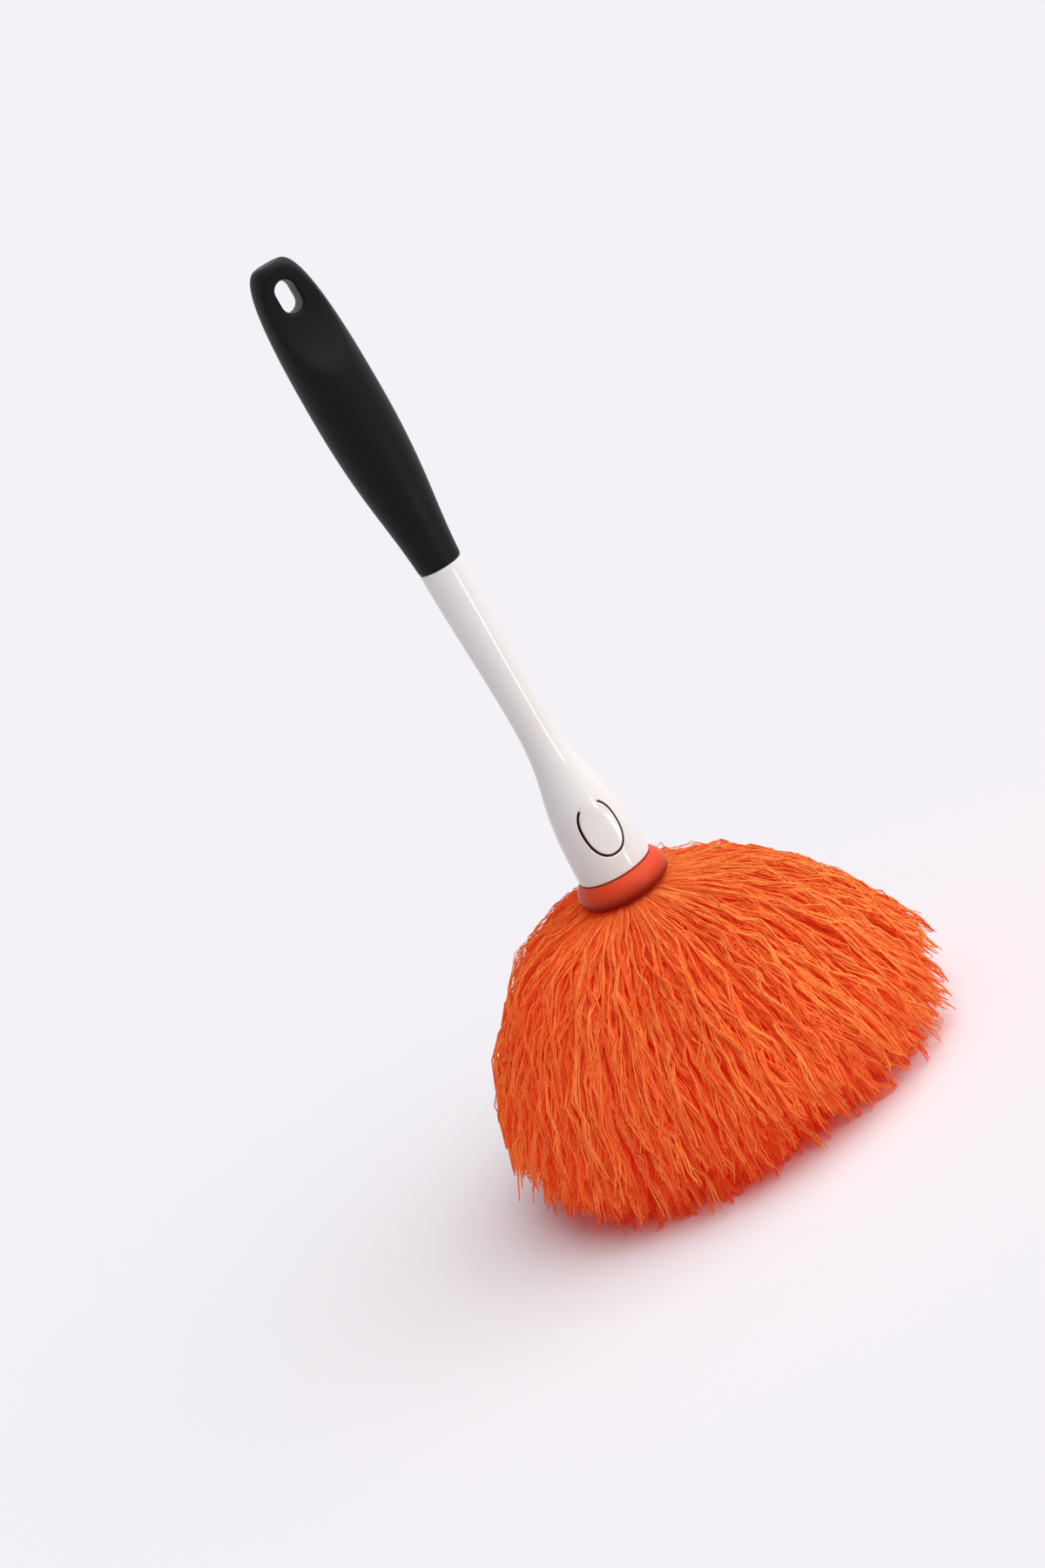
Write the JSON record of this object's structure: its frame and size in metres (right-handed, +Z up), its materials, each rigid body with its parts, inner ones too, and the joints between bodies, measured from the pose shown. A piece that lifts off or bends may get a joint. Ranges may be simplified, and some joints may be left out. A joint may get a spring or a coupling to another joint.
{
  "type": "hand duster",
  "caption": "Hand duster: a slim waisted handle with a soft grip and press tab, and a domed mop head of microfibre locks that snaps into the handle's bell mouth and pulls off.",
  "frame": {"origin": "centre of the flat base that the trimmed yarn tips make, under the handle's axis", "axes": "+Z up along the handle's axis from the head to the grip, -Y the way the press tab faces, +X to the right seen from the press tab's side"},
  "size_m": [0.1642, 0.1642, 0.3246],
  "materials": {
    "white_abs": "gloss moulded ABS",
    "black_tpe": "matt soft-touch elastomer",
    "orange_abs": "moulded ABS",
    "orange_satin": "satin soft plastic",
    "microfibre": "cut microfibre yarn",
    "screw_steel": "zinc-plated steel"
  },
  "bodies": {
    "handle": {"handle_shell": "white_abs", "tang_plug": "white_abs", "grip_sleeve": "black_tpe"},
    "button": {"press_tab": "white_abs"},
    "head": {"head_stem": "orange_abs", "head_collar": "orange_satin", "retainer_disc": "orange_abs", "retainer_screw": "screw_steel", "yarn_back_right": "microfibre", "yarn_back_left": "microfibre", "yarn_front_left": "microfibre", "yarn_front_right": "microfibre"},
    "tongue": {"snap_tongue": "orange_abs"}
  },
  "joints": [
    {"name": "tab_press", "type": "hinge", "parent": "handle", "child": "button", "pos_m": [0, -0.00965, 0.1241], "axis": [1, 0, 0], "range_deg": [0, 5], "stiffness_Nm_per_rad": 0.4},
    {"name": "head_pull", "type": "slide", "parent": "handle", "child": "head", "axis": [0, 0, -1], "range_m": [0, 0.04], "deforming": ["snap_tongue"]},
    {"name": "tongue_flex", "type": "hinge", "parent": "head", "child": "tongue", "pos_m": [0, -0.007, 0.1241], "axis": [1, 0, 0], "range_deg": [0, 5]}
  ],
  "couplings": [
    {"joint": "tongue_flex", "follows": "tab_press", "ratio": 1}
  ]
}
